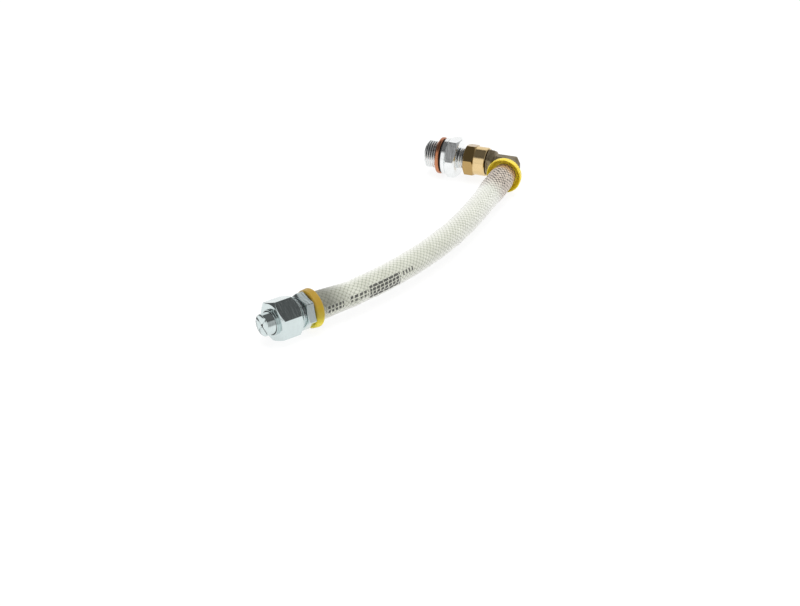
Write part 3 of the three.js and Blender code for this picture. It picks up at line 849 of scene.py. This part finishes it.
def braid_height(around, along, sizes):
    """The yarns' relief, the same pattern as in the braid's material."""
    p = around * sizes.bundles + along / (2 * sizes.braid_step)
    q = around * sizes.bundles - along / (2 * sizes.braid_step)
    sp, sq = np.sin(np.pi * (p % 1)), np.sin(np.pi * (q % 1))
    odd = (np.floor(p) + np.floor(q)) % 2
    return sizes.relief * np.where(odd == 0, sp * (0.5 + 0.5 * sq), sq * (0.5 + 0.5 * sp))


class MESH_OT_drain_collars(bpy.types.Operator):
    """Build the two yellow end collars"""
    bl_idname = "mesh.drain_collars"
    bl_label = "Add end collars"

    def execute(self, context):
        finish = context.scene.drain_finish
        # The near collar turns much darker towards its top.
        near = plastic_look(
            "near yellow plastic", finish.near_yellow, (0.45, 0.33, 0.008), (0.38, 0.235, 0.02))
        far = plastic_look("yellow plastic", finish.far_yellow, (0.90, 0.72, 0.03), (0.82, 0.64, 0.05))
        for name, node, start, matrix, look in (
            ("near_end_collar", "near_collar", NEAR_COLLAR_START, NEAR, near),
            ("far_end_collar", "far_collar", FAR_COLLAR_START, BRANCH, far),
        ):
            end, floor = start + 4.7, start + 1.2
            profile = [
                (start, COLLAR_HOLE), (start, 10.4), (start + 0.7, 11.1), (end - 0.6, COLLAR_RADIUS),
                (end, 11.25), (end, 10.8), (floor + 0.4, 8.9), (floor, 8.4), (floor, COLLAR_HOLE),
            ]
            obj = turned_object(name, profile, matrix, round_angles(144), 0.3, closed=True)
            dress(obj, look, node, "hose_assembly")
        return {"FINISHED"}


class MESH_OT_drain_near_end(bpy.types.Operator):
    """Build the straight insert, the union nut and the blanking plug"""
    bl_idname = "mesh.drain_near_end"
    bl_label = "Add near fitting"

    def execute(self, context):
        sizes, base = context.scene.drain_fittings, context.scene.drain_finish.near_zinc
        union_nut(sizes, base)
        straight_insert(sizes, base)
        plug = cad_copy("near_plug", "blanking_plug")
        plug.data.transform(NEAR.inverted() @ plug.matrix_world)
        plug.matrix_world = NEAR
        dress(plug, plug_look(base), "blanking_plug", "plug")
        return {"FINISHED"}


def union_nut(sizes, base):
    """The near nut: a round boss, a hexagon, and a cone inside that holds the plug's shoulder."""
    flats = sizes.near_nut_flats / MM
    face = FACE_SHARE * flats
    stock = Hexagon(flats, UNION_FACET)
    nut = turned_object("near_union_nut", [
        (BOSS_START, STUB_HOLE), (BOSS_START, BOSS_RADIUS), (UNION_HEX_START, BOSS_RADIUS),
        (UNION_HEX_START, face), stock.edge(UNION_HEX_START, face, 1),
        stock.edge(UNION_END, face, -1, 1.0), (UNION_END, face), (UNION_END, UNION_BORE + 0.8),
        (UNION_END - 0.8, UNION_BORE), (10.58, UNION_BORE), (7.98, STUB_HOLE),
    ], NEAR, stock.angles(), sizes.edge / MM, closed=True)
    # Painted shade round the hole where the stub enters the nut.
    zinc = threaded_look("near zinc", base, grooves=[(0.0048, 0.012, 0.0069)])
    dress(nut, zinc, "union_nut", "near_nut")


def straight_insert(sizes, base):
    """The near insert: a threaded nose with the plug's cone, a hexagon and a barbed tail."""
    flats = sizes.insert_flats / MM
    face = FACE_SHARE * flats
    stock = Hexagon(flats, INSERT_FACET)
    hex_start, hex_end = INSERT_HEX
    tail_end = NEAR_TAIL_START + TAIL_LENGTH
    insert = turned_object("near_insert", [
        (INSERT_TIP, 7.12), (INSERT_TIP, INSERT_CORE), (INSERT_TIP + 0.8, INSERT_CREST),
        *thread_stations(*INSERT_THREAD, INSERT_CREST, sizes.thread_pitch / MM, 1.0),
        (INSERT_THREAD[1] + 0.1, INSERT_CORE), (hex_start, INSERT_CORE),
        (hex_start, face), stock.edge(hex_start, face, 1), stock.wall(hex_end),
        (hex_end, INSERT_CORE), (hex_end, BARB_PEAK), *barb_stations(NEAR_TAIL_START),
        (tail_end, BARB_VALLEY), (tail_end, TAIL_BORE), (17.8, TAIL_BORE), (17.8, 6.0),
    ], NEAR, stock.angles(), sizes.edge / MM, closed=True)
    # Painted shade in the thread roots.
    roots = threaded_look("threaded near zinc", base, [(0.0134, 0.0242, 0.0084)])
    dress(insert, roots, "straight_insert", "hose_assembly")


def barb_stations(start):
    """Stations of a hose tail: each barb rises steeply and falls away towards the tail's end."""
    pitch = TAIL_LENGTH / BARB_COUNT
    stations = [(start, BARB_VALLEY)]
    for i in range(BARB_COUNT):
        rise = start + (i + 0.35) * pitch
        fall = start + (i + 1) * pitch - 0.05
        stations += [(rise, BARB_VALLEY), (rise + 0.2, BARB_PEAK), (fall, BARB_VALLEY)]
    return stations[:-1]


class MESH_OT_drain_far_end(bpy.types.Operator):
    """Build the stud adapter, its copper washer and the brass swivel nut"""
    bl_idname = "mesh.drain_far_end"
    bl_label = "Add far fitting"

    def execute(self, context):
        sizes, finish = context.scene.drain_fittings, context.scene.drain_finish
        stud_adapter(sizes, finish.far_zinc)
        copper_washer(finish.copper)
        swivel_nut(sizes, finish.brass)
        return {"FINISHED"}


def stud_adapter(sizes, base):
    """The adapter: a threaded stud, a flange, a hexagon, and a threaded neck with the elbow's cone."""
    flats = sizes.adapter_flats / MM
    face = FACE_SHARE * flats
    pitch = sizes.thread_pitch / MM
    stock = Hexagon(flats, ADAPTER_FACET)
    hex_start, hex_end = ADAPTER_HEX
    adapter = turned_object("drain_stud_adapter", [
        (STUD_TIP, STUD_BORE), (STUD_TIP, 7.7), (STUD_TIP + 0.8, 8.4),
        *thread_stations(*STUD_THREAD, STUD_CREST, pitch, 1.1),
        (STUD_THREAD[1] + 0.2, STUD_CORE), (FLANGE[0], STUD_CORE), (FLANGE[0], FLANGE_RADIUS - 1.1),
        (FLANGE[0] + 1.0, FLANGE_RADIUS), (FLANGE[1], FLANGE_RADIUS),
        (hex_start, face), stock.edge(hex_start, face, 1), stock.edge(hex_end, face, -1), (hex_end, face),
        (hex_end, 6.2), (hex_end + 0.6, 6.2), *thread_stations(*NECK_THREAD, NECK_CREST, pitch, 0.95),
        (NECK_THREAD[1] + 0.2, 6.7), (NECK_END, 6.3), (NECK_END, 5.9),
        (-30.4, 4.43), (-30.4, NECK_BORE), (-40.0, NECK_BORE), (-41.0, STUD_BORE),
    ], FAR, stock.angles(), sizes.edge / MM, closed=True)
    # Painted shade in the roots of both threads and in the gap between the copper washer and the flange.
    look = threaded_look(
        "threaded far zinc", base, [(-0.0575, -0.0466, 0.0084), (-0.0355, -0.0241, 0.0063)],
        [(-0.0467, -0.0454, 0.02)])
    dress(adapter, look, "stud_adapter", "adapter")


def copper_washer(base):
    front, back, bevel = *WASHER, 0.5
    washer = turned_object("drain_copper_washer", [
        (front, WASHER_HOLE), (front, WASHER_RADIUS - bevel), (front + bevel, WASHER_RADIUS),
        (back - bevel, WASHER_RADIUS), (back, WASHER_RADIUS - bevel), (back, WASHER_HOLE),
    ], FAR, round_angles(144), 0.3, closed=True)
    dress(washer, copper_look(base), "copper_washer", "adapter")


def swivel_nut(sizes, base):
    """The brass nut: a hexagon and a round barrel, with a lip inside behind the retaining wire."""
    flats = sizes.swivel_flats / MM
    face = FACE_SHARE * flats
    stock = Hexagon(flats, SWIVEL_FACET, 0.5)
    nut = turned_object("far_swivel_nut", [
        (SWIVEL_START, SWIVEL_BORE + 0.8), (SWIVEL_START, face), stock.edge(SWIVEL_START, face, 1),
        stock.edge(SWIVEL_HEX_END, SWIVEL_BARREL, -1), (SWIVEL_HEX_END, SWIVEL_BARREL),
        (SWIVEL_END - 0.5, SWIVEL_BARREL), (SWIVEL_END, SWIVEL_BARREL - 0.5), (SWIVEL_END, 5.9),
        (SWIVEL_END - 4.0, 5.9), (SWIVEL_END - 4.0, SWIVEL_BORE), (SWIVEL_START + 0.8, SWIVEL_BORE),
    ], FAR, stock.angles(), sizes.edge / MM, closed=True)
    dress(nut, brass_look(base), "swivel_nut", "far_nut")


class MESH_OT_drain_elbow(bpy.types.Operator):
    """Build the pressed elbow with its softened edges"""
    bl_idname = "mesh.drain_elbow"
    bl_label = "Add elbow"

    def execute(self, context):
        elbow = cad_copy("pressed_elbow", "elbow_body")
        remesh = elbow.modifiers.new("even", "REMESH")
        remesh.mode = "VOXEL"
        remesh.voxel_size = ELBOW_VOXEL
        smooth = elbow.modifiers.new("soft", "SMOOTH")
        smooth.factor = 0.5
        smooth.iterations = ELBOW_SMOOTHING
        graph = bpy.context.evaluated_depsgraph_get()
        mesh = bpy.data.meshes.new_from_object(elbow.evaluated_get(graph))
        elbow.modifiers.clear()
        elbow.data = mesh
        mesh.shade_smooth()
        base = context.scene.drain_finish.dull_brass
        dress(elbow, dark_brass_look(base), "elbow_body", "hose_assembly")
        return {"FINISHED"}


class MESH_OT_drain_seals(bpy.types.Operator):
    """Build the O-rings and the retaining wire"""
    bl_idname = "mesh.drain_seals"
    bl_label = "Add seals and wire"

    def execute(self, context):
        rubber = rubber_look()
        for name, node, body, look, slot in (
            ("plug_seal", "plug_o_ring", "plug", rubber, "black_rubber"),
            ("elbow_seal", "elbow_o_ring", "hose_assembly", rubber, "black_rubber"),
            ("nut_wire", "nut_retaining_wire", "hose_assembly", wire_look(), "wire_steel"),
        ):
            dress(cad_copy(name, node, 180), look, node, body)
        return {"FINISHED"}


class SCENE_OT_drain_stage(bpy.types.Operator):
    """Build the floor, the lamps and the world"""
    bl_idname = "scene.drain_stage"
    bl_label = "Build stage"

    def execute(self, context):
        settings = context.scene.drain_stage
        half = settings.floor_size / 2
        corners = [(-half, -half), (half, -half), (half, half), (-half, half)]
        floor = make_mesh("floor", [(*corner, FLOOR_LEVEL) for corner in corners], [(0, 1, 2, 3)])
        floor.data.materials.append(floor_material())
        add_area("overhead", (0.1, 0.1, 1.6), 1.6, settings.key_strength)
        add_area("side", (1.5, -0.6, 0.9), 1.0, settings.fill_strength)
        build_world(settings.ambient)
        context.scene.view_settings.view_transform = "Standard"
        return {"FINISHED"}


def add_area(name, place, size, power):
    """A square lamp that looks at the origin and that mirrors don't show."""
    lamp = bpy.data.lights.new(name, "AREA")
    lamp.shape = "SQUARE"
    lamp.size = size
    lamp.energy = power
    obj = link(bpy.data.objects.new(name, lamp))
    obj.location = place
    obj.rotation_euler = (-Vector(place)).to_track_quat("-Z", "Y").to_euler()
    obj.visible_glossy = False
    return obj


def seen_by(nodes, *kinds):
    """One for the named kinds of ray."""
    path = nodes.node("ShaderNodeLightPath")
    most = path.outputs[kinds[0]]
    for key in kinds[1:]:
        most = nodes.math("MAXIMUM", most, path.outputs[key])
    return most


def floor_material():
    """White with a faint shadow where it is seen; mirrors see it dim far out to both sides."""
    material = bpy.data.materials.new("floor")
    material.use_nodes = True
    nodes = Nodes(material.node_tree)
    nodes.tree.nodes.clear()
    out = nodes.node("ShaderNodeOutputMaterial")
    plain, faint = nodes.node("ShaderNodeBsdfDiffuse"), nodes.node("ShaderNodeBsdfDiffuse")
    plain.inputs["Color"].default_value = (0.86, 0.86, 0.86, 1)
    faint.inputs["Color"].default_value = (0.16, 0.16, 0.16, 1)
    x = nodes.place("Position", "ShaderNodeNewGeometry")[0]
    sides = nodes.math("MULTIPLY", nodes.scale_range(x, 0.03, 0.15, 1.0, FLOOR_RIGHT),
                       nodes.scale_range(x, -0.24, -0.14, FLOOR_LEFT, 1.0))
    glossy = seen_by(nodes, "Is Glossy Ray")
    dimmed = nodes.math("MULTIPLY_ADD", glossy, nodes.math("SUBTRACT", sides, 1.0), 1.0)
    glow = nodes.node("ShaderNodeEmission")
    nodes.wire(nodes.math("MULTIPLY", dimmed, 0.88), glow.inputs["Strength"])
    both = nodes.node("ShaderNodeAddShader")
    nodes.wire(faint.outputs[0], both.inputs[0])
    nodes.wire(glow.outputs[0], both.inputs[1])
    seen = seen_by(nodes, "Is Camera Ray", "Is Glossy Ray", "Is Transmission Ray")
    nodes.wire(nodes.mix_shaders(seen, plain.outputs[0], both.outputs[0]), out.inputs[0])
    return material


def room_level(nodes):
    """What mirrors see: white walls, a dim right side, a dark card on the left and a dark ceiling."""
    x, y, z = nodes.place("Generated")
    above = nodes.math("SUBTRACT", z, nodes.math("MULTIPLY_ADD", y, 0.09, 0.70))
    ceiling = nodes.scale_range(above, 0.08, 0.2, 0.055, 0.14)
    right = nodes.scale_range(x, 0.2, 0.8, 0.0, 1.0)
    side = nodes.scale_range(z, -0.15, 0.47, 0.4, 0.28)
    wall = nodes.math("MULTIPLY_ADD", right, nodes.math("SUBTRACT", side, 1.0), 1.0)
    card = nodes.math("MULTIPLY", nodes.scale_range(x, -0.82, -0.74, 1.0, 0.0),
                      nodes.scale_range(z, 0.6, 0.68, 1.0, 0.0))
    wall = nodes.math("MULTIPLY", wall, nodes.math("MULTIPLY_ADD", card, -0.9, 1.0))
    under = nodes.scale_range(above, -0.05, 0.084, 1.0, 0.0)
    return nodes.math("MULTIPLY_ADD", under, nodes.math("SUBTRACT", wall, ceiling), ceiling)


def build_world(ambient):
    """Plain light for the surfaces, the room for mirrors, and white behind everything."""
    world = bpy.data.worlds.new("studio")
    bpy.context.scene.world = world
    world.use_nodes = True
    nodes = Nodes(world.node_tree)
    nodes.tree.nodes.clear()
    out = nodes.node("ShaderNodeOutputWorld")
    plain, room, white = (nodes.node("ShaderNodeBackground") for _ in range(3))
    plain.inputs["Strength"].default_value = ambient
    nodes.wire(room_level(nodes), room.inputs["Strength"])
    for background in (plain, room, white):
        background.inputs["Color"].default_value = (1, 1, 1, 1)
    glossy = nodes.mix_shaders(seen_by(nodes, "Is Glossy Ray"), plain.outputs[0], room.outputs[0])
    straight = seen_by(nodes, "Is Camera Ray", "Is Transmission Ray")
    nodes.wire(nodes.mix_shaders(straight, glossy, white.outputs[0]), out.inputs[0])


class VIEW3D_PT_drain_hose(bpy.types.Panel):
    """Sizes and steps of the drain hose"""
    bl_label = "Drain hose"
    bl_idname = "VIEW3D_PT_drain_hose"
    bl_space_type = "VIEW_3D"
    bl_region_type = "UI"
    bl_category = "Drain hose"

    def draw(self, context):
        for name, group in GROUPS:
            box = self.layout.box()
            for key in group.__annotations__:
                box.prop(getattr(context.scene, name), key)
        for step in STEPS:
            self.layout.operator(step.bl_idname)


STEPS = (
    SCENE_OT_drain_camera, MESH_OT_drain_hose, MESH_OT_drain_collars, MESH_OT_drain_near_end,
    MESH_OT_drain_far_end, MESH_OT_drain_elbow, MESH_OT_drain_seals, SCENE_OT_drain_stage,
)
GROUPS = (
    ("drain_hose", HoseSettings), ("drain_fittings", FittingSettings),
    ("drain_finish", FinishSettings), ("drain_stage", StageSettings),
)


def register():
    for name, group in GROUPS:
        bpy.utils.register_class(group)
        setattr(bpy.types.Scene, name, bpy.props.PointerProperty(type=group))
    for step in STEPS:
        bpy.utils.register_class(step)
    bpy.utils.register_class(VIEW3D_PT_drain_hose)


def unregister():
    bpy.utils.unregister_class(VIEW3D_PT_drain_hose)
    for step in reversed(STEPS):
        bpy.utils.unregister_class(step)
    for name, group in GROUPS:
        delattr(bpy.types.Scene, name)
        bpy.utils.unregister_class(group)


def main():
    register()
    bpy.ops.scene.drain_camera()
    bpy.ops.mesh.drain_hose()
    bpy.ops.mesh.drain_collars()
    bpy.ops.mesh.drain_near_end()
    bpy.ops.mesh.drain_far_end()
    bpy.ops.mesh.drain_elbow()
    bpy.ops.mesh.drain_seals()
    bpy.ops.scene.drain_stage()


if __name__ == "__main__":
    main()
